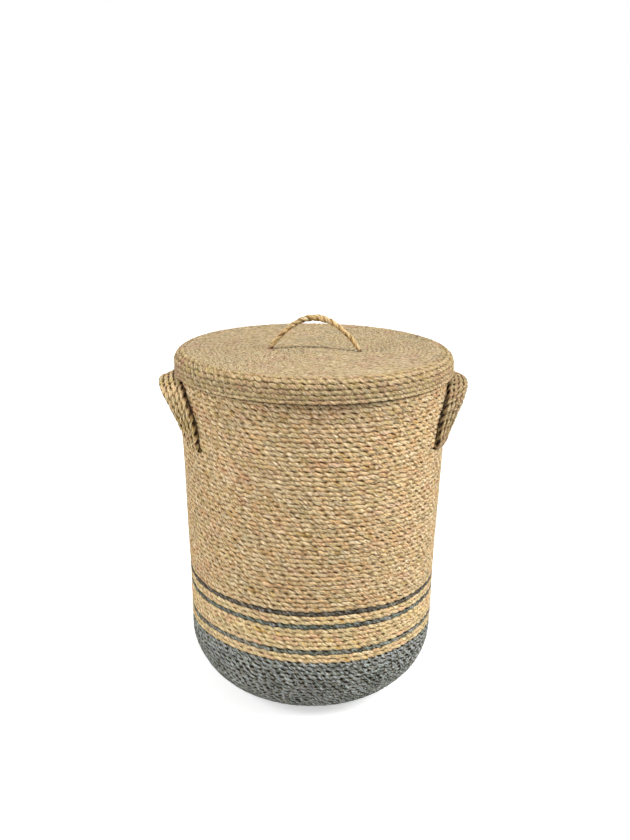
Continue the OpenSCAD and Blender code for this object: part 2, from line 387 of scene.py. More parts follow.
def parted(s, angle):
    """Length along the path after the row has stepped aside for a handle leg."""
    off = s - slot_s
    push = 0
    for place in (slot_angle, -slot_angle, math.pi - slot_angle, math.pi + slot_angle):
        away = abs((angle - place + math.pi) % (2 * math.pi) - math.pi) * slot_r
        near = 1 - fade_in(away, slot_half_width, PUSH_RUN)
        push += near * math.copysign(PUSH * math.exp(-abs(off) / (PUSH_DEPTH * body_pitch)), off)
    return s + push


# %% [markdown]
# ## The route of one coil
# A coil is a spiral: with every turn it moves on by one row. Its bands change at the back of
# the hamper, and it runs clockwise, seen from above. The cord starts thin in the middle. The
# last half turn is shaved thinner and thinner, so that the cord's end lies flush and the rim
# stays level.

# %% Points of a coil, worked out turn by turn
STEPS_PER_TURN = 120
LEAST_STEPS = 8
# where the first turn starts: the middle inside it stays open
START_TURN = 0.55
START_THICKNESS = 0.6
THICKER_PER_TURN = 1.2
SHAVED_TURNS = 0.5
# the very end: its share of a turn and its thickness
TIP_LENGTH = 0.02
TIP_THICKNESS = 0.25


def route_length(points):
    """Length of a line through points."""
    return float(np.linalg.norm(np.diff(points, axis=0), axis=1).sum())


def coil_route(path, pitch, rows, first, last, wander, side=1):
    """Points, cross directions and thicknesses of the rows from first to last."""
    first = max(first, START_TURN)
    steps = max(int((last - first) * STEPS_PER_TURN), LEAST_STEPS)
    shaved_from = rows - SHAVED_TURNS
    points, crosses, thicknesses = [], [], []
    for turn in np.linspace(first, last, steps + 1):
        thick = min(1, START_THICKNESS + (turn - START_TURN) * THICKER_PER_TURN)
        thick = min(thick, 1 - max(turn - shaved_from, 0))
        s = turn * pitch
        if turn > shaved_from:
            s = rows * pitch - thick * pitch / 2
        tip = fade_in(rows - turn, 0, TIP_LENGTH)
        angle = math.pi / 2 - 2 * math.pi * turn
        s_moved = parted(s, angle) if path is BODY_PATH else s
        radius, height = point_at(path, s_moved)
        heading = direction_at(path, s_moved)
        points.append(wander(radius, height, angle))
        out, up = math.cos(heading), side * math.sin(heading)
        crosses.append((out * math.cos(angle), out * math.sin(angle), up))
        thicknesses.append(thick * (TIP_THICKNESS + (1 - TIP_THICKNESS) * tip))
    return np.array(points), np.array(crosses), np.array(thicknesses)


SAMPLE_ROW = 60
wall_row, _, _ = coil_route(BODY_PATH, body_pitch, body_rows, SAMPLE_ROW, SAMPLE_ROW + 1, wandering_body)
print("one wall row has", len(wall_row), "points and", round(route_length(wall_row), 3), "m")

# %% [markdown]
# ## The twisted cord
# Two plies are twisted round each other. Cut across, the cord is almost round with two
# notches, where the plies meet. So the cord starts as a circle, two of its points are drawn
# in deep and the four beside them a little, and a Screw modifier winds that outline into as
# many full twists as the row needs. Working on one outline keeps every twist alike, and
# the unevenness comes afterwards, from one place.

# %% Small helpers for modelling as by hand
CORD_SIDES = 12
TWIST_STEPS = 12
# length of one full twist in the coils
CORD_LAY = 0.031
# points of the outline in and beside the two notches, and how far they are drawn in
NOTCH_POINTS = (0, 6)
NOTCH_SIZE = 0.64
BESIDE_NOTCH = (1, 5, 7, 11)
BESIDE_NOTCH_SIZE = 0.91


def make_active(obj):
    bpy.ops.object.select_all(action="DESELECT")
    obj.select_set(True)
    bpy.context.view_layer.objects.active = obj


def apply_modifier(obj, kind, **settings):
    """Adds a modifier, sets it and applies it."""
    make_active(obj)
    modifier = obj.modifiers.new(kind.lower(), kind)
    for name, value in settings.items():
        setattr(modifier, name, value)
    bpy.ops.object.modifier_apply(modifier=modifier.name)


def coordinates(mesh):
    xyz = np.empty(len(mesh.vertices) * 3)
    mesh.vertices.foreach_get("co", xyz)
    return xyz.reshape(-1, 3)


def set_coordinates(mesh, xyz):
    mesh.vertices.foreach_set("co", xyz.ravel())
    mesh.update()


# %% Outline of the cord, wound into twists
def draw_in(outline, where, amount):
    """Moves the outline's points at some of its corners towards the middle."""
    for corner, vertex in enumerate(outline.data.vertices):
        vertex.select = corner in where
    bpy.ops.object.mode_set(mode="EDIT")
    bpy.ops.transform.resize(value=(1, amount, amount))
    bpy.ops.object.mode_set(mode="OBJECT")


def straight_cord(name, diameter, lay, twists):
    """A straight two-ply cord along X, closed at both ends."""
    bpy.ops.mesh.primitive_circle_add(
        vertices=CORD_SIDES, radius=diameter / 2, fill_type="NOTHING", rotation=(0, math.pi / 2, 0)
    )
    cord = bpy.context.object
    cord.name = cord.data.name = name
    bpy.ops.object.transform_apply(location=False, rotation=True, scale=False)
    bpy.ops.object.mode_set(mode="EDIT")
    bpy.ops.mesh.select_mode(type="VERT")
    bpy.ops.mesh.select_all(action="DESELECT")
    bpy.ops.object.mode_set(mode="OBJECT")
    draw_in(cord, NOTCH_POINTS, NOTCH_SIZE)
    draw_in(cord, BESIDE_NOTCH, BESIDE_NOTCH_SIZE)
    apply_modifier(
        cord,
        "SCREW",
        axis="X",
        screw_offset=lay,
        angle=2 * math.pi,
        steps=TWIST_STEPS,
        render_steps=TWIST_STEPS,
        iterations=twists,
        use_merge_vertices=False,
    )
    bpy.ops.object.mode_set(mode="EDIT")
    bpy.ops.mesh.select_all(action="SELECT")
    bpy.ops.mesh.fill_holes(sides=CORD_SIDES)
    bpy.ops.mesh.normals_make_consistent(inside=False)
    bpy.ops.object.mode_set(mode="OBJECT")
    return cord


sample = straight_cord("sample_cord", CORD_D, CORD_LAY, 2)
print("two twists have", len(sample.data.polygons), "faces")
bpy.data.objects.remove(sample)

# %% [markdown]
# ## Maps that follow the plies
# Grass blades run along each ply, so their colour has to follow the twist and not the room.
# The map "cord" counts twists along the cord in u and goes once round the plies in v. A
# second map lays the cord out in strips side by side on one sheet, which is what a painter
# of textures needs.

# %% Take the twist out again
def untwisted(x, y, z, lay):
    """Where points would lie across the cord if it had no twist."""
    turn = 2 * math.pi * x / lay
    return y * np.cos(turn) + z * np.sin(turn), z * np.cos(turn) - y * np.sin(turn)


# %% Write both maps
# the margin beside each strip, as a share of the strip
STRIP_MARGIN = 0.04
# the place round the cord where one ply is thickest, for the caps
ON_A_PLY = 0.25


def write_maps(cord, lay, twists, strips):
    """The map "cord" for the finish, and the sheet of strips with the two end caps beside them."""
    mesh = cord.data
    xyz = coordinates(mesh)
    corners = np.empty(len(mesh.loops), int)
    mesh.loops.foreach_get("vertex_index", corners)
    totals = np.empty(len(mesh.polygons), int)
    mesh.polygons.foreach_get("loop_total", totals)
    starts = np.concatenate([[0], np.cumsum(totals)[:-1]])
    face_of = np.repeat(np.arange(len(totals)), totals)
    x, y, z = xyz[corners].T
    flat_y, flat_z = untwisted(x, y, z, lay)
    turn = np.arctan2(flat_z, flat_y) / (2 * math.pi)
    middle_x = np.add.reduceat(x, starts) / totals
    middle_turn = np.arctan2(np.add.reduceat(flat_z, starts), np.add.reduceat(flat_y, starts))
    middle_turn = (middle_turn / (2 * math.pi)) % 1
    around = middle_turn[face_of] + (turn - middle_turn[face_of] + 0.5) % 1 - 0.5
    cap = (totals > 4)[face_of]
    around[cap] = ON_A_PLY
    cord_map = mesh.uv_layers.new(name="cord")
    cord_map.data.foreach_set("uv", np.column_stack([x / lay, around]).ravel())

    rings = twists * TWIST_STEPS
    strip_rings = math.ceil(rings / strips)
    ring = np.clip((middle_x / lay * TWIST_STEPS).astype(int), 0, rings - 1)
    strip = (ring // strip_rings)[face_of]
    along = x / lay * TWIST_STEPS / strip_rings - strip
    across = (strip + STRIP_MARGIN + (1 - 2 * STRIP_MARGIN) * around) / (strips + 1)
    # the two end caps are small patches in a strip of their own
    radius = np.hypot(y, z).max()
    end = np.sign(x - x.max() / 2)
    along[cap] = 0.5 + 0.2 * end[cap] + 0.1 * y[cap] / radius
    across[cap] = (strips + 0.5 + 0.3 * z[cap] / radius) / (strips + 1)
    sheet = mesh.uv_layers.new(name="OFBake")
    sheet.data.foreach_set("uv", np.column_stack([along, across]).ravel())
    mesh.uv_layers.active = cord_map


# %% [markdown]
# ## Uneven plies
# A rope walker's hands never pull evenly. The twist is tighter here and looser there, and a
# ply swells where a new blade of grass is fed in. Both are slow changes along the cord.

# %% Slow random change along a cord
# how much each unevenness changes the thickness, and over what length along the cord
PLY_LUMPS, LUMP_LENGTH = 0.10, 0.014
SLOW_SWELL, SWELL_LENGTH = 0.03, 0.1
BLADE_RELIEF, BLADE_LENGTH = 0.055, 0.008
# how much the twist runs tight and loose, over long and short stretches
LONG_PACE, LONG_PACE_LENGTH = 0.13, 0.09
SHORT_PACE, SHORT_PACE_LENGTH = 0.10, 0.03
PACE_STEP = 0.002


def drift(rng, x, spacing):
    """Smooth random values between -1 and 1 that change over about one spacing."""
    knots = rng.uniform(-1, 1, int(x.max() / spacing) + 4)
    place = x / spacing + 1
    low = np.floor(place).astype(int)
    part = place - low
    part = part * part * (3 - 2 * part)
    return knots[low] * (1 - part) + knots[low + 1] * part


def make_uneven(cord, lay, rng):
    """Swells the plies, moves single blades in and out and lets the twist run tight and loose."""
    xyz = coordinates(cord.data)
    x = xyz[:, 0].copy()
    length = x.max()
    flat_y, flat_z = untwisted(x, xyz[:, 1], xyz[:, 2], lay)
    ply = flat_z / np.hypot(flat_y, flat_z).max()
    swell = 0.5 * (1 + ply) * drift(rng, x, LUMP_LENGTH) + 0.5 * (1 - ply) * drift(rng, x, LUMP_LENGTH)
    thick = 1 - PLY_LUMPS / 2 + PLY_LUMPS * swell + SLOW_SWELL * drift(rng, x, SWELL_LENGTH)
    blade = np.round(np.arctan2(flat_z, flat_y) / (2 * math.pi) * CORD_SIDES).astype(int) % CORD_SIDES
    for number in range(CORD_SIDES):
        mine = blade == number
        thick[mine] += BLADE_RELIEF * drift(rng, x, BLADE_LENGTH)[mine]
    xyz[:, 1:] *= thick[:, None]
    steps = np.linspace(0, length, int(length / PACE_STEP) + 2)
    pace = 1 + LONG_PACE * drift(rng, steps, LONG_PACE_LENGTH)
    pace += SHORT_PACE * drift(rng, steps, SHORT_PACE_LENGTH)
    run = np.concatenate([[0], np.cumsum(pace[:-1])])
    xyz[:, 0] = np.interp(x, steps, run / run[-1] * length)
    set_coordinates(cord.data, xyz)


# %% [markdown]
# ## Laying the cord
# The straight cord is bent along its route with a Curve modifier. The curve's points carry
# the thickness too, which is how the cord's shaved end gets thin. Then each point of the
# cord learns how far it faces its neighbour rows, so that the finish can darken the valleys.

# %% Bend a cord along its route
def lay_along(cord, points, thicknesses, twist_mode):
    """Bends a straight cord along points. Returns where each vertex lies along the route."""
    curve = bpy.data.curves.new("route", "CURVE")
    curve.dimensions = "3D"
    curve.twist_mode = twist_mode
    curve.use_stretch = True
    curve.use_deform_bounds = True
    curve.use_radius = True
    spline = curve.splines.new("POLY")
    spline.points.add(len(points) - 1)
    spline.points.foreach_set("co", np.column_stack([points, np.ones(len(points))]).ravel())
    spline.points.foreach_set("radius", thicknesses)
    route = bpy.data.objects.new("route", curve)
    bpy.context.scene.collection.objects.link(route)
    along = coordinates(cord.data)[:, 0]
    apply_modifier(cord, "CURVE", object=route, deform_axis="POS_X")
    bpy.data.objects.remove(route)
    bpy.data.curves.remove(curve)
    return along / along.max()


# How tightly a cord is packed: how square its section gets (2 is round), how much wider it gets towards its
# neighbours, how far the notches between its plies close on the crest, and whether both of its sides are
# marked for painted shade or only the one that faces along the path. The lid's edge row has no next row: its
# marked side is the free lower one, where the finish paints the shadow line under the lid's edge.
WALL_PACKING = (6, 1.15, 0.65, "both")
RIM_PACKING = (6, 1.0, 0.65, "both")
LID_EDGE_PACKING = (6, 1.0, 0.65, "next")
DISC_PACKING = (8, 1.3, 0.7, "both")
STRIPE_PACKING = (6, 1.35, 0.65, "both")
HANDLE_PACKING = (2.6, 1.15, 0.1, "both")
# how far to the side the filling of the notches starts to fade, and how long it takes
CREST_FADE = (0.3, 0.4)
TINY = 1e-9
# depths of a filled notch and of the crest, before and after, as shares of the radius
DEPTHS_BEFORE = (0.4, 1.0)
DEPTHS_AFTER = (0.94, 1.0)


def mark_valleys(cord, marks):
    """Stores how much painted shade each point gets, for the finish to read."""
    cord.data.attributes.new("valley", "FLOAT", "POINT").data.foreach_set("value", marks)


def pack_and_mark(cord, along, points, crosses, diameter, packing):
    """Packs a cord against its neighbours and stores how far each point faces them.

    The mark is 0 on the crest and 1 where two cords touch.
    """
    press, widen, fill, sides = packing
    lengths = np.concatenate([[0], np.cumsum(np.linalg.norm(np.diff(points, axis=0), axis=1))])
    place = along * lengths[-1]
    middle = np.column_stack([np.interp(place, lengths, points[:, i]) for i in range(3)])
    cross = np.column_stack([np.interp(place, lengths, crosses[:, i]) for i in range(3)])
    cross /= np.linalg.norm(cross, axis=1)[:, None]
    xyz = coordinates(cord.data)
    offset = xyz - middle
    sideways = (offset * cross).sum(axis=1)
    reach = np.linalg.norm(offset, axis=1)
    share = np.clip(np.abs(sideways) / np.maximum(reach, TINY), 0, 1)
    outward = np.sqrt(1 - share**2)
    square = (share**press + outward**press) ** (-1 / press)
    crest = fill * (1 - np.clip((share - CREST_FADE[0]) / CREST_FADE[1], 0, 1))
    before = [depth * diameter / 2 for depth in DEPTHS_BEFORE]
    after = [depth * diameter / 2 for depth in DEPTHS_AFTER]
    full = np.interp(reach, before, after)
    filled = reach * (1 - crest) + np.maximum(full, reach) * crest
    grown = square * filled / np.maximum(reach, TINY)
    sideways *= grown
    wider = cross * (sideways * (widen - 1))[:, None]
    set_coordinates(cord.data, middle + offset * grown[:, None] + wider)
    marked = np.abs(sideways) if sides == "both" else sideways
    mark_valleys(cord, np.clip(marked * widen / (diameter / 2), 0, 1))


# %% One finished piece of cord
# bands whose cord is twisted more tightly, and the share of the usual lay that they have
FINE_LAY = {
    "floor_coil": 0.82,
    "heel_coil": 0.82,
    "lid_shoulder_coil": 0.85,
    "lid_skirt_coil": 0.85,
    "lid_edge_row": 0.85,
}


def twisted_cord(
    name, points, thicknesses, diameter, lay, seed, crosses=None, packing=None, strips=1, twist_mode="MINIMUM"
):
    """A two-ply cord laid along points, with its maps and its unevenness. Returns it and its length."""
    length = route_length(points)
    twists = max(round(length / lay), 1)
    cord = straight_cord(name, diameter, lay, twists)
    write_maps(cord, lay, twists, strips)
    make_uneven(cord, lay, np.random.default_rng(seed))
    along = lay_along(cord, points, thicknesses, twist_mode)
    if crosses is not None:
        pack_and_mark(cord, along, points, crosses, diameter, packing)
    make_active(cord)
    bpy.ops.object.shade_smooth()
    return cord, length


# %% [markdown]
# ## Seagrass
# Dried seagrass is straw coloured, but never one colour: a blade may be olive, honey, pink or nearly white,
# and a cord shows another blade every hand's width. The finish reads the cord's own map. One slow noise picks
# the blade for each ply, finer ones draw streaks, flecks and fibres, a large one in the room gives patches,
# and the notch between the plies and the valleys between the rows get painted shade, darkest where two cords
# meet.

# %% Pieces of the finish
def ramp(tree, factor, stops):
    """A colour ramp from (place, swatch) pairs."""
    node = add_node(tree, "ValToRGB", {"Fac": factor})
    elements = node.color_ramp.elements
    while len(elements) < len(stops):
        elements.new(0.5)
    for element, (place, colour) in zip(elements, stops):
        element.position = place
        element.color = swatch(colour)
    return node.outputs["Color"]


def compute(tree, operation, *values):
    node = add_node(tree, "Math", operation=operation)
    for socket, value in zip(node.inputs, values):
        feed(tree, socket, value)
    return node.outputs["Value"]


def blend_colours(tree, mode, factor, below, above):
    node = add_node(tree, "Mix", data_type="RGBA", blend_type=mode)
    for name, value in (("Factor", factor), ("A", below), ("B", above)):
        feed(tree, [s for s in node.inputs if s.name == name and s.enabled][0], value)
    return [s for s in node.outputs if s.enabled][0]


def noise(tree, vector, scale, detail):
    node = add_node(tree, "TexNoise", {"Vector": vector, "Scale": scale, "Detail": detail})
    return node.outputs["Fac"]


def vector_of(tree, x, y, z):
    node = add_node(tree, "CombineXYZ")
    for socket, value in zip(node.inputs, (x, y, z)):
        feed(tree, socket, value)
    return node.outputs["Vector"]


# %% Noise that is drawn out along the plies
def along_plies(tree, along, around, per_twist, per_round, detail=2.0, layer=0.0):
    """Spots that lie along the plies: so many in one twist and so many round the cord."""
    x = compute(tree, "MULTIPLY", along, per_twist)
    y = compute(tree, "MULTIPLY", around, per_round)
    return noise(tree, vector_of(tree, x, y, layer), 1.0, detail)


# %% The cord finish
# how strongly each layer of detail shows
STREAKS, FLECKS, GLINTS, FIBRES = 0.7, 0.75, 0.35, 0.6
# how high streaks and flecks stand, compared with the fibres
STREAK_RELIEF, FLECK_RELIEF = 2.0, 1.5
# fibres run at a small angle to the plies
SLANT = 0.12
# patches are flatter than they are wide
PATCH_SHAPE = (1, 1, 2.6)
PATCH_SCALE = 22.0
SHEEN = 0.2


def cord_finish(
    name, stretches, blades, patches, gap, depth,
    grain=1.0, roughness=0.75, joint=0.04, specks=1.0, crest_notch=0.08,
):
    """Twisted grass cord.

    blades are the colours of single blades, stretches tint a ply for some centimetres and patches vary the
    whole piece. gap is the colour between the fibres and also the colour of the painted shade in the deep
    notches and the valleys. depth says how strongly that painted shade shows, grain how strongly the fibres
    show, joint how dark the painted shade along the line between two rows is, specks how many of its notches
    get dark painted shade and crest_notch how dark the painted shade is in a notch where no neighbour hides
    it.
    """
    material = bpy.data.materials.new(name)
    material.use_nodes = True
    tree = material.node_tree
    shader = tree.nodes["Principled BSDF"]
    cord_map = add_node(tree, "UVMap", uv_map="cord")
    split = add_node(tree, "SeparateXYZ", {"Vector": cord_map.outputs["UV"]})
    along, around = split.outputs["X"], split.outputs["Y"]
    slanted = compute(tree, "MULTIPLY_ADD", along, SLANT, around)

    blade = along_plies(tree, along, around, per_twist=1.3, per_round=9, detail=1.5)
    colour = ramp(tree, blade, blades)
    stretch = along_plies(tree, along, around, per_twist=0.45, per_round=1.6, layer=3.0)
    colour = blend_colours(tree, "MULTIPLY", 1.0, colour, ramp(tree, stretch, stretches))
    room = add_node(tree, "TexCoord").outputs["Object"]
    flat_room = add_node(tree, "Mapping", {"Vector": room, "Scale": PATCH_SHAPE}).outputs["Vector"]
    patch = noise(tree, flat_room, PATCH_SCALE, 3.0)
    colour = blend_colours(tree, "MULTIPLY", 1.0, colour, ramp(tree, patch, patches))

    streak = along_plies(tree, along, slanted, per_twist=3.4, per_round=9)
    streak_shade = ramp(tree, streak, [(0.30, gap), (0.46, "#d6cdbf"), (0.58, "#ffffff")])
    colour = blend_colours(tree, "MULTIPLY", STREAKS * grain, colour, streak_shade)
    fleck = along_plies(tree, along, slanted, per_twist=7, per_round=17, detail=1.5, layer=6.0)
    fleck_shade = ramp(tree, fleck, [(0.30, gap), (0.44, "#d2c8b8"), (0.54, "#ffffff")])
    colour = blend_colours(tree, "MULTIPLY", FLECKS * grain, colour, fleck_shade)
    glint = ramp(tree, fleck, [(0.60, "#000000"), (0.74, "#fff8ea")])
    colour = blend_colours(tree, "SCREEN", GLINTS * grain, colour, glint)
    fibre = along_plies(tree, along, slanted, per_twist=3, per_round=70, detail=3.0)
    fibre_shade = ramp(tree, fibre, [(0.32, "#b5a58a"), (0.55, "#ffffff")])
    colour = blend_colours(tree, "MULTIPLY", FIBRES, colour, fibre_shade)

    # 0 in the notch between the two plies and 1 on top of a ply
    in_ply = compute(tree, "FRACT", compute(tree, "MULTIPLY", around, 2))
    crest = compute(tree, "MULTIPLY", in_ply, compute(tree, "SUBTRACT", 1, in_ply))
    crest = compute(tree, "MULTIPLY", crest, 4)
    notch = compute(tree, "SUBTRACT", 1, crest)
    # painted shade: the valleys between rows and the notches between plies are darkened towards the gap
    # colour, where shade falls
    valley = add_node(tree, "Attribute", attribute_name="valley").outputs["Fac"]
    facing = compute(tree, "POWER", valley, 2.0)
    # not every notch is dark
    chance = along_plies(tree, along, around, per_twist=2.3, per_round=3.1, detail=1.0, layer=9.0)
    chance = map_range(tree, chance, before=(0.36, 0.62), after=(0.25, 1.6))
    speck = compute(tree, "MULTIPLY", notch, compute(tree, "MULTIPLY_ADD", facing, 1.15, crest_notch))
    speck = compute(tree, "MULTIPLY", speck, compute(tree, "MULTIPLY", chance, specks))
    painted_shade = compute(tree, "MULTIPLY_ADD", facing, joint, speck)
    painted_shade_colour = ramp(tree, painted_shade, [(0.08, "#ffffff"), (0.32, "#bfb09a"), (0.70, gap)])
    colour = blend_colours(tree, "MULTIPLY", depth, colour, painted_shade_colour)

    tree.links.new(colour, shader.inputs["Base Color"])
    shader.inputs["Roughness"].default_value = roughness
    shader.inputs["Specular IOR Level"].default_value = SHEEN
    relief = compute(tree, "MULTIPLY_ADD", fleck, FLECK_RELIEF, fibre)
    relief = compute(tree, "MULTIPLY_ADD", streak, STREAK_RELIEF, relief)
    bump = add_node(tree, "Bump", {"Height": relief, "Strength": 0.7, "Distance": 0.0005})
    tree.links.new(bump.outputs["Normal"], shader.inputs["Normal"])
    return material


# %% Natural and dyed seagrass
NATURAL_BLADES = [
    (0.28, "#b6a78e"), (0.37, "#dccfb6"), (0.44, "#f0e3ce"), (0.50, "#e0cfac"),
    (0.55, "#f8eedc"), (0.61, "#ebd5b4"), (0.68, "#fdf8ee"), (0.78, "#dad4bd"),
]
NATURAL_STRETCHES = [
    (0.30, "#e3cd9c"), (0.38, "#e6e1c3"), (0.45, "#fbf4ea"), (0.51, "#efe7d3"),
    (0.56, "#f9e9ce"), (0.62, "#f1d8bc"), (0.70, "#dcdaca"),
]
NATURAL_PATCHES = [
    (0.32, "#eceee8"), (0.42, "#fffefa"), (0.50, "#fefaee"), (0.57, "#fffdfb"),
    (0.66, "#f9ebe8"),
]
NATURAL = {"blades": NATURAL_BLADES, "patches": NATURAL_PATCHES}
natural = cord_finish("natural_seagrass", NATURAL_STRETCHES, gap="#4f3a20", depth=0.85, **NATURAL)

# partly painted light: the bands between the stripes get a lighter copy of the natural finish, making up for
# the weaker light low on the wall; it is also yellower, with fewer dark specks
LIT_BAND_STRETCHES = [
    (0.32, "#f8e3a6"), (0.42, "#fffbea"), (0.50, "#f4efd2"), (0.56, "#fff6e0"),
    (0.66, "#fde4d2"),
]
lit_band = cord_finish("lit_band_seagrass", LIT_BAND_STRETCHES, gap="#5a4426", depth=0.8, grain=0.9, **NATURAL)

# painted shade: a darker copy of the natural finish for the lid's shoulder and skirt, standing in for the
# shade on the lid's sides
SKIRT_SHADE_STRETCHES = [
    (0.32, "#bcb084"), (0.42, "#c8c3a9"), (0.52, "#d0c7b3"), (0.62, "#c4b1a3"),
    (0.70, "#b5b6a4"),
]
skirt_shade = cord_finish(
    "skirt_shaded_seagrass", SKIRT_SHADE_STRETCHES, gap="#4f3a20", depth=0.6, grain=0.9, **NATURAL
)

# the lid's edge row: a near black gap colour and a strong joint paint a dark shadow line along its free lower
# side, the shade under the lid's edge
EDGE_STRETCHES = [(0.34, "#cdc09c"), (0.46, "#e2dcc8"), (0.56, "#dacdb6"), (0.66, "#d9c5b6")]
edge = cord_finish(
    "edge_seagrass", EDGE_STRETCHES, gap="#1c1409", depth=1.0, roughness=0.7, joint=1.1, **NATURAL
)

RUBBED_STRETCHES = [(0.34, "#c3bfa9"), (0.46, "#c8c6ba"), (0.56, "#c5bfb1"), (0.66, "#c8bcb4")]
rubbed = cord_finish(
    "rubbed_seagrass", RUBBED_STRETCHES, gap="#6e5a3c", depth=0.4, grain=0.9, roughness=0.65, **NATURAL
)

# the handle cords get painted shade where they face their neighbours, towards a dark gap colour
HANDLE_LOOK = {"gap": "#2e1e0c", "depth": 1.0, "roughness": 0.7, "joint": 0.16, "specks": 1.1}
GRIPPED_STRETCHES = [(0.34, "#d8cf9a"), (0.44, "#e7e2cf"), (0.55, "#ece0c5"), (0.66, "#decbbc")]
gripped = cord_finish("gripped_seagrass", GRIPPED_STRETCHES, **HANDLE_LOOK, **NATURAL)
# painted shade: a darker copy of the handle finish for the right handle, which the stronger right lamp lights
# more
RIGHT_HANDLE_SHADE_STRETCHES = [(0.34, "#b6ab7f"), (0.44, "#c3bead"), (0.55, "#c7bca4"), (0.66, "#bdaa9c")]
right_handle_shade = cord_finish("right_handle_shaded_seagrass", RIGHT_HANDLE_SHADE_STRETCHES, **HANDLE_LOOK, **NATURAL)

PALE_BLADES = [(0.30, "#a28c5c"), (0.40, "#d8c090"), (0.50, "#f4e8cc"), (0.60, "#cfb586"), (0.72, "#fdf8ee")]
PALE_STRETCHES = [(0.35, "#ecdab8"), (0.5, "#fbf6ec"), (0.65, "#e4d0ae")]
# the loop rope: joint darkens its feet and crest_notch its open notches, both painted shade
pale = cord_finish(
    "pale_cord", PALE_STRETCHES, PALE_BLADES, NATURAL_PATCHES,
    gap="#5e4424", depth=0.9, grain=0.8, roughness=0.6, joint=0.5, crest_notch=0.42,
)

GREY_BLADES = [
    (0.28, "#4e5456"), (0.37, "#808a8a"), (0.46, "#a8b2b2"), (0.54, "#c6ced0"),
    (0.61, "#98a2a6"), (0.70, "#ecf0f0"),
]
GREY_STRETCHES = [
    (0.32, "#d6e8e4"), (0.42, "#ffffff"), (0.50, "#e8eef6"), (0.58, "#fbfcff"),
    (0.68, "#d2d4e2"),
]
GREY_PATCHES = [(0.35, "#dadfda"), (0.5, "#ffffff")]
GREY = {"blades": GREY_BLADES, "patches": GREY_PATCHES, "depth": 1.0, "grain": 1.3}
grey = cord_finish("grey_seagrass", GREY_STRETCHES, gap="#0e0f0d", specks=2.0, **GREY)

# The three stripes took the dye unevenly: the top one is brown black, the middle one green
# grey and the lowest a paler grey
HIGH_STRETCHES = [(0.36, "#86796e"), (0.46, "#a2968a"), (0.54, "#9b9188"), (0.62, "#cdbfae")]
MID_STRETCHES = [(0.36, "#98a89a"), (0.46, "#b4bab0"), (0.54, "#c6c4c4"), (0.62, "#b8c8bc")]
LOW_STRETCHES = [(0.36, "#bcb8ae"), (0.46, "#dad6cc"), (0.54, "#cdd6cc"), (0.62, "#eee4d8")]
high_dye = cord_finish("stripe_brown_black", HIGH_STRETCHES, gap="#0e0c09", specks=1.6, **GREY)
mid_dye = cord_finish("stripe_green_grey", MID_STRETCHES, gap="#0e0f0d", specks=1.6, **GREY)
low_dye = cord_finish("stripe_pale_grey", LOW_STRETCHES, gap="#0e0f0d", specks=1.6, **GREY)
print("finishes", [m.name for m in bpy.data.materials if m.name != "studio_paper"])

# %% [markdown]
# ## The body, band by band
# The body is wound from the middle of the floor to the rim without a break. The bands only
# change the dye of the cord. Each band replaces the plain ring that holds its place. The
# heel is wound as two pieces, to keep each of them light.

# %% Wind the body
COIL_SEED = 100
# node, rows, how its cord is packed, finish and slot
BODY_BANDS = [
    ("floor_coil", 12, WALL_PACKING, grey, "grey_seagrass"),
    ("heel_coil", 13, WALL_PACKING, grey, "grey_seagrass"),
    ("heel_coil", 12, WALL_PACKING, grey, "grey_seagrass"),
    ("natural_band_low", 2, WALL_PACKING, lit_band, "natural_seagrass"),
    ("stripe_low", 1, STRIPE_PACKING, low_dye, "grey_seagrass"),
    ("natural_band_mid", 5, WALL_PACKING, lit_band, "natural_seagrass"),
    ("stripe_mid", 1, STRIPE_PACKING, mid_dye, "grey_seagrass"),
    ("natural_band_high", 2, WALL_PACKING, lit_band, "natural_seagrass"),
    ("stripe_high", 1, STRIPE_PACKING, high_dye, "grey_seagrass"),
    ("wall_coil_lower", 14, WALL_PACKING, natural, "natural_seagrass"),
    ("wall_coil_middle", 14, WALL_PACKING, natural, "natural_seagrass"),
    ("handle_band", 6, WALL_PACKING, natural, "natural_seagrass"),
    ("wall_coil_upper", 8, WALL_PACKING, natural, "natural_seagrass"),
    ("neck_coil", 6, WALL_PACKING, natural, "natural_seagrass"),
    ("rim_row", 1, RIM_PACKING, natural, "natural_seagrass"),
]


def finish_piece(piece, node, body, material):
    """Gives a piece its material and its place in the frame. A piece with no body is left unattached."""
    piece.data.materials.clear()
    piece.data.materials.append(material)
    if body:
        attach(piece, body)
    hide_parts(node)


def wind(bands, body, path, pitch, rows, wander, side):
    """Winds one coil through all its bands. A node with two bands gets a lower and an upper piece."""
    first = 0
    cord_length = 0
    for number, (node, count, packing, material, slot) in enumerate(bands):
        last = first + count
        points, crosses, thicknesses = coil_route(path, pitch, rows, first, last, wander, side)
        lay = CORD_LAY * FINE_LAY.get(node, 1)
        seed = COIL_SEED + 50 * side + number
        upper = number > 0 and bands[number - 1][0] == node
        name = node + ("_upper_cord" if upper else "_cord")
        piece, length = twisted_cord(
            name, points, thicknesses, CORD_D, lay, seed, crosses, packing, count, twist_mode="Z_UP"
        )
        finish_piece(piece, node, body, material)
        cord_length += length
        first = last
        print(f"{piece.name}: {count} rows, {length:.2f} m of cord, {len(piece.data.polygons)} faces")
    return first, cord_length


wound_rows, body_cord = wind(BODY_BANDS, "basket", BODY_PATH, body_pitch, body_rows, wandering_body, 1)
print("body rows wound", wound_rows, "of", body_rows, "with", round(body_cord, 1), "m of cord")

# %% [markdown]
# ## The lid
# The lid is a shallow cap: a flat coil, a rounded shoulder and a short skirt that slips over
# the neck. It is wound from the middle in the same way, only upside down.

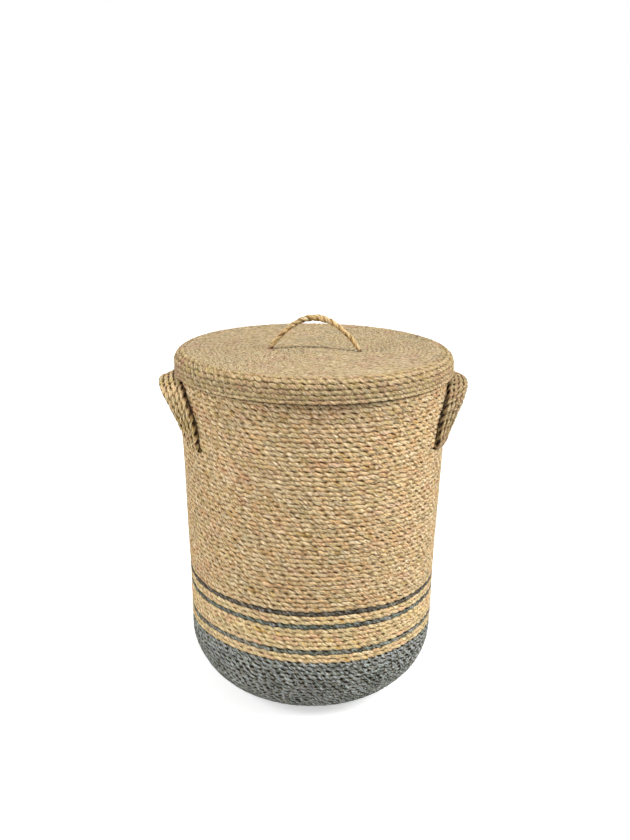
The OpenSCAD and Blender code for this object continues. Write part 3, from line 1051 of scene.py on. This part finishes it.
# %% Wind the lid
LID_BANDS = [
    ("lid_disc_coil", 28, DISC_PACKING, rubbed, "natural_seagrass"),
    ("lid_shoulder_coil", 4, WALL_PACKING, skirt_shade, "natural_seagrass"),
    ("lid_skirt_coil", 1, WALL_PACKING, skirt_shade, "natural_seagrass"),
    ("lid_edge_row", 1, LID_EDGE_PACKING, edge, "natural_seagrass"),
]
wound_rows, lid_cord = wind(LID_BANDS, "lid", LID_PATH, lid_pitch, lid_rows, wandering_lid, -1)
print("lid rows wound", wound_rows, "of", lid_rows, "with", round(lid_cord, 1), "m of cord")

# %% [markdown]
# ## Side handles
# Four cords lie side by side in each handle. A cord starts as a tail inside the wall, bends
# out between two rows, turns up and runs in a flattened arch to the other side. The arches
# lie along the round wall and fan out: each cord leans away from it more than the one before.

# %% Round off a route of few points
ROUTE_STEP = 0.002


def smooth_route(points, spacing=ROUTE_STEP):
    """A smooth line through the points (Catmull-Rom), with evenly small steps."""
    points = np.array(points)
    before = np.vstack([2 * points[0] - points[1], points, 2 * points[-1] - points[-2]])
    line = []
    for a, b, c, d in zip(before[:-3], before[1:-2], before[2:-1], before[3:]):
        steps = max(int(np.linalg.norm(c - b) / spacing), 1)
        for t in np.arange(steps)[:, None] / steps:
            place = 2 * b + (c - a) * t
            place = place + (2 * a - 5 * b + 4 * c - d) * t**2 + (3 * b - a - 3 * c + d) * t**3
            line.append(0.5 * place)
    return np.vstack(line + [points[-1]])


def along_route(route, table):
    """One value for each point of a route, from a table of (share of its length, value)."""
    return np.interp(np.linspace(0, 1, len(route)), *zip(*table))


def towards(points, others):
    """Direction from each point to the nearest one of the other points."""
    gaps = np.linalg.norm(points[:, None] - others[None], axis=2)
    return others[gaps.argmin(axis=1)] - points


# %% The route of a handle cord
ARCH_STEPS = 18
# below 1, the arch is flatter on top and steeper at its legs than half an oval
ARCH_ROUNDNESS = 0.77
BEND_ANGLES = [math.radians(a) for a in (0, 30, 60, 90)]
HANDLE_LAY = 0.026
HANDLE_SWELL = 1.24
HANDLE_SEED = 300
# the inner cords stand off the wall above their feet and are pulled towards it at the top
STAND_OFF = 0.003
STAND_OFF_PLACE = math.radians(35)
STAND_OFF_WIDTH = math.radians(20)
TOP_PULL = 0.0022


def handle_leg(i):
    """Points of the front leg of the left handle's cord, from its tail to the foot of its arch."""
    angle = leg_angles[i]
    inner = wall_radius(slot_z - BEND_R) - (CORD_D + AT_WALL) / math.cos(taper)
    outer = wall_radius(slot_z + BEND_R) + AT_WALL
    profile = [
        (inner - (down - BEND_R) * math.tan(taper), slot_z - down)
        for down in np.arange(TAIL_LENGTH, BEND_R, -TAIL_LENGTH / 3)
    ]
    for a in BEND_ANGLES:
        profile.append((inner + BEND_R * (1 - math.cos(a)), slot_z - BEND_R * (1 - math.sin(a))))
    for a in BEND_ANGLES:
        profile.append((outer - BEND_R * (1 - math.sin(a)), slot_z + BEND_R * (1 - math.cos(a))))
    return [(-r * math.cos(angle), -r * math.sin(angle), z) for r, z in profile]


def handle_arch(i):
    """Points of the arch, from the front leg to the back leg."""
    _, foot_y, foot_z = handle_leg(i)[-1]
    top_gap = HANDLE_REACH + i * TOP_PITCH
    rise = handle_h - BEND_R - i * TOP_DROP
    inner_share = 1 - i / (HANDLE_CORDS - 1)
    points = []
    for k in range(1, ARCH_STEPS):
        a = math.pi * k / ARCH_STEPS
        up = math.sin(a) ** ARCH_ROUNDNESS
        across = math.copysign(abs(math.cos(a)) ** ARCH_ROUNDNESS, math.cos(a))
        y = foot_y * across
        z = foot_z + rise * up
        off_place = (min(a, math.pi - a) - STAND_OFF_PLACE) / STAND_OFF_WIDTH
        stand_off = STAND_OFF * math.exp(-(off_place**2)) - TOP_PULL * math.sin(a) ** 4
        radius = wall_radius(z) + AT_WALL + (top_gap - AT_WALL) * up + stand_off * inner_share
        points.append((-math.sqrt(radius**2 - y**2), y, z))
    return points


def handle_route(i, side):
    leg = handle_leg(i)
    points = leg + handle_arch(i) + [(x, -y, z) for x, y, z in reversed(leg)]
    return smooth_route([(-side * x, y, z) for x, y, z in points])


# %% Make the eight handle cords
for side, side_name, look in ((-1, "left", gripped), (1, "right", right_handle_shade)):
    for i in range(HANDLE_CORDS):
        route = handle_route(i, side)
        neighbour = handle_route(i - 1 if i else 1, side)
        node = f"{side_name}_handle_cord_{i + 1}"
        even = np.ones(len(route))
        thickness = HANDLE_CORD_D * HANDLE_SWELL
        seed = HANDLE_SEED + 10 * side + i
        crosses = towards(route, neighbour)
        piece, length = twisted_cord(
            node + "_twist", route, even, thickness, HANDLE_LAY, seed, crosses, HANDLE_PACKING
        )
        finish_piece(piece, node, "basket", look)
        print(f"{piece.name}: {length:.3f} m of cord")

# %% [markdown]
# ## The loop on the lid
# A short pale rope bows over the lid. Its ends slant down through the lid and are knotted below. The rope
# bends where it leaves the lid and is given no body of its own here. Its feet are painted darker than the
# bow, as shade where they meet the lid.

# %% Loop rope
LOOP_D = 0.007
LOOP_SPAN = 0.126
LOOP_H = 0.0425
LOOP_FORWARD = 0.015
LOOP_TURN = math.radians(-10.5)
LOOP_STEPS = 16
LOOP_LAY = 0.026
LOOP_SEED = 400
# the rope is fuller on the bow: share of its length and thickness
LOOP_SWELL = (
    (0, 1.0), (0.08, 1.1), (0.25, 1.2), (0.45, 1.5),
    (0.55, 1.5), (0.75, 1.15), (0.92, 1.05), (1, 1.0),
)
# the way through the lid: distance outwards from the foot and height over the lid's top
THROUGH_LID = ((0.0014, 0.0012), (0.0022, -0.0012), (0.0018, -0.0040))
# height over the lid's top below which the rope's feet get painted shade
FOOT_SHADE = 0.006
loop_foot_z = lid_top + LOOP_D / 2 + CORD_PLAY


def on_loop(x, z, aside=0.0):
    """A point of the loop's upright plane, or beside it, given from between the loop's feet."""
    along_x, along_y = math.cos(LOOP_TURN), math.sin(LOOP_TURN)
    return (x * along_x - aside * along_y, x * along_y + aside * along_x - LOOP_FORWARD, z)


bow = [LOOP_SPAN * (k / LOOP_STEPS - 0.5) for k in range(LOOP_STEPS + 1)]
bow = [(x, loop_foot_z + LOOP_H * (1 - (2 * x / LOOP_SPAN) ** 2)) for x in bow]
ends = [(LOOP_SPAN / 2 + out, lid_top + up) for out, up in THROUGH_LID]
loop_line = [(-x, z) for x, z in reversed(ends)] + bow + ends
loop_route = smooth_route([on_loop(x, z) for x, z in loop_line])
loop_swell = along_route(loop_route, LOOP_SWELL)
loop_rope, loop_length = twisted_cord(
    "lid_loop_rope_twist", loop_route, loop_swell, LOOP_D, LOOP_LAY, LOOP_SEED
)
over_lid = coordinates(loop_rope.data)[:, 2] - lid_top
# painted shade: the rope darkens towards the lid, where its feet meet it
mark_valleys(loop_rope, 1 - np.clip(over_lid / FOOT_SHADE, 0, 1))
finish_piece(loop_rope, "lid_loop_rope", None, pale)
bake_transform(loop_rope)
print("loop rope", round(loop_length, 3), "m")

# %% [markdown]
# ## The knots under the lid
# Below the lid each end takes a turn and a half round itself and stops in a short tail. The
# knot is pulled tight, so the rope is thinner there.

# %% Tie the knots
KNOT_START = ((0.0019, -0.0034), (0.0012, -0.0058), (0.0006, -0.0078))
KNOT_R = 0.0034
KNOT_TOP = -0.0105
KNOT_PITCH = 0.0032
KNOT_TURNS = 1.5
KNOT_POINTS = 8
KNOT_STEP = 0.001
KNOT_SEED = 410
# share of the end's length and thickness
KNOT_SWELL = ((0, 1), (0.12, 1), (0.3, 0.62), (1, 0.62))
TAIL_END = ((0.0006, -0.0165), (0.0022, -0.0195), (0.0030, -0.0225))


def knot_route(side):
    """Points of one end of the rope, from inside the lid to the end of the tail."""
    line = [(out, 0, up) for out, up in KNOT_START]
    for k in range(round(KNOT_TURNS * KNOT_POINTS) + 1):
        turn = k / KNOT_POINTS
        a = 2 * math.pi * turn
        line.append((KNOT_R * math.cos(a), KNOT_R * math.sin(a), KNOT_TOP - KNOT_PITCH * turn))
    line += [(out, -KNOT_R / 2, up) for out, up in TAIL_END]
    points = [on_loop(side * (LOOP_SPAN / 2 + out), lid_top + up, aside) for out, aside, up in line]
    return smooth_route(points, KNOT_STEP)


for side, side_name in ((-1, "left"), (1, "right")):
    route = knot_route(side)
    tight = along_route(route, KNOT_SWELL)
    knot, length = twisted_cord(
        f"{side_name}_loop_knot", route, tight, LOOP_D, LOOP_LAY / 2, KNOT_SEED + side
    )
    finish_piece(knot, "lid_loop_knots", "lid", pale)
    print(f"{knot.name}: {length:.3f} m of rope")
